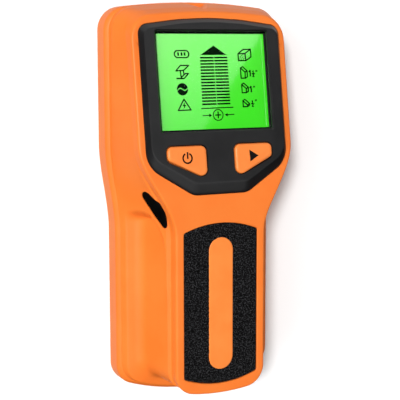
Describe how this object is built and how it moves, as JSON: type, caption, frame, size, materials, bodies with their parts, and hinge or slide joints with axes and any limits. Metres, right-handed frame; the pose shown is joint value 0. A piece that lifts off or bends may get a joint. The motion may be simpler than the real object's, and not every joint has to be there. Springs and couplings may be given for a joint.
{
  "type": "stud finder",
  "caption": "Hand-held wall scanner with an inclined display head, two push buttons, a waisted handle with a grip pad, and a battery bay in its back.",
  "frame": {"origin": "middle of the bounding box on the plane of the flat back", "axes": "+Y from the handle to the head end, +Z out of the display, +X to the right as the display is read"},
  "size_m": [0.0808, 0.1676, 0.0374],
  "materials": {
    "orange_shell": "satin moulded plastic",
    "black_bezel": "satin",
    "clear_window": "clear",
    "green_display": "lit display",
    "white_plastic": "smooth",
    "pale_diffuser": "diffusing",
    "grey_rubber": "matte",
    "green_board": "solder mask",
    "black_package": "matte",
    "dark_sleeve": "sleeve",
    "orange_button": "satin",
    "black_grip": "fine leather-like grain",
    "orange_label": "satin",
    "black_insert": "matte",
    "copper": "bare",
    "grey_ribbon": "flat cable",
    "battery_sleeve": "plain sleeve",
    "steel": "plated",
    "black_vinyl": "soft",
    "red_insulation": "insulation",
    "black_insulation": "insulation"
  },
  "bodies": {
    "housing": {"rear_shell": "orange_shell", "front_shell": "orange_shell", "display_bezel": "black_bezel", "display_window": "clear_window", "lcd_glass": "green_display", "lcd_frame": "white_plastic", "lcd_backlight": "pale_diffuser", "zebra_strip": "grey_rubber", "main_board": "green_board", "controller_chip": "black_package", "storage_capacitor": "dark_sleeve", "buzzer": "black_package", "power_switch_body": "black_package", "mode_switch_body": "black_package", "grip_pad": "black_grip", "label_plate": "orange_label", "side_slot_insert_left": "black_insert", "side_slot_insert_right": "black_insert", "sense_board": "green_board", "sense_electrodes": "copper", "coil_bobbin": "white_plastic", "coil_winding": "copper", "ribbon_cable": "grey_ribbon", "battery_can": "battery_sleeve", "battery_studs": "steel", "battery_snap": "black_vinyl", "lead_red": "red_insulation", "lead_black": "black_insulation", "case_screws": "steel", "board_screws": "steel"},
    "power_button": {"power_button": "orange_button"},
    "power_switch_plunger": {"power_switch_plunger": "white_plastic"},
    "mode_button": {"mode_button": "orange_button"},
    "mode_switch_plunger": {"mode_switch_plunger": "white_plastic"},
    "battery_door": {"battery_door": "orange_shell"}
  },
  "joints": [
    {"name": "power_button_press", "type": "slide", "parent": "housing", "child": "power_button", "axis": [0, -0.1504, -0.9886], "range_m": [0, 0.0005], "stiffness_N_per_m": 800, "springref_m": -0.0005},
    {"name": "power_plunger_press", "type": "slide", "parent": "housing", "child": "power_switch_plunger", "axis": [0, -0.1504, -0.9886], "range_m": [0, 0.0005]},
    {"name": "mode_button_press", "type": "slide", "parent": "housing", "child": "mode_button", "axis": [0, -0.1504, -0.9886], "range_m": [0, 0.0005], "stiffness_N_per_m": 800, "springref_m": -0.0005},
    {"name": "mode_plunger_press", "type": "slide", "parent": "housing", "child": "mode_switch_plunger", "axis": [0, -0.1504, -0.9886], "range_m": [0, 0.0005]},
    {"name": "battery_door_swing", "type": "hinge", "parent": "housing", "child": "battery_door", "pos_m": [0, -0.07153, 0], "axis": [-1, 0, 0], "range_deg": [0, 70]}
  ],
  "couplings": [
    {"joint": "power_plunger_press", "follows": "power_button_press", "ratio": 1},
    {"joint": "mode_plunger_press", "follows": "mode_button_press", "ratio": 1}
  ]
}
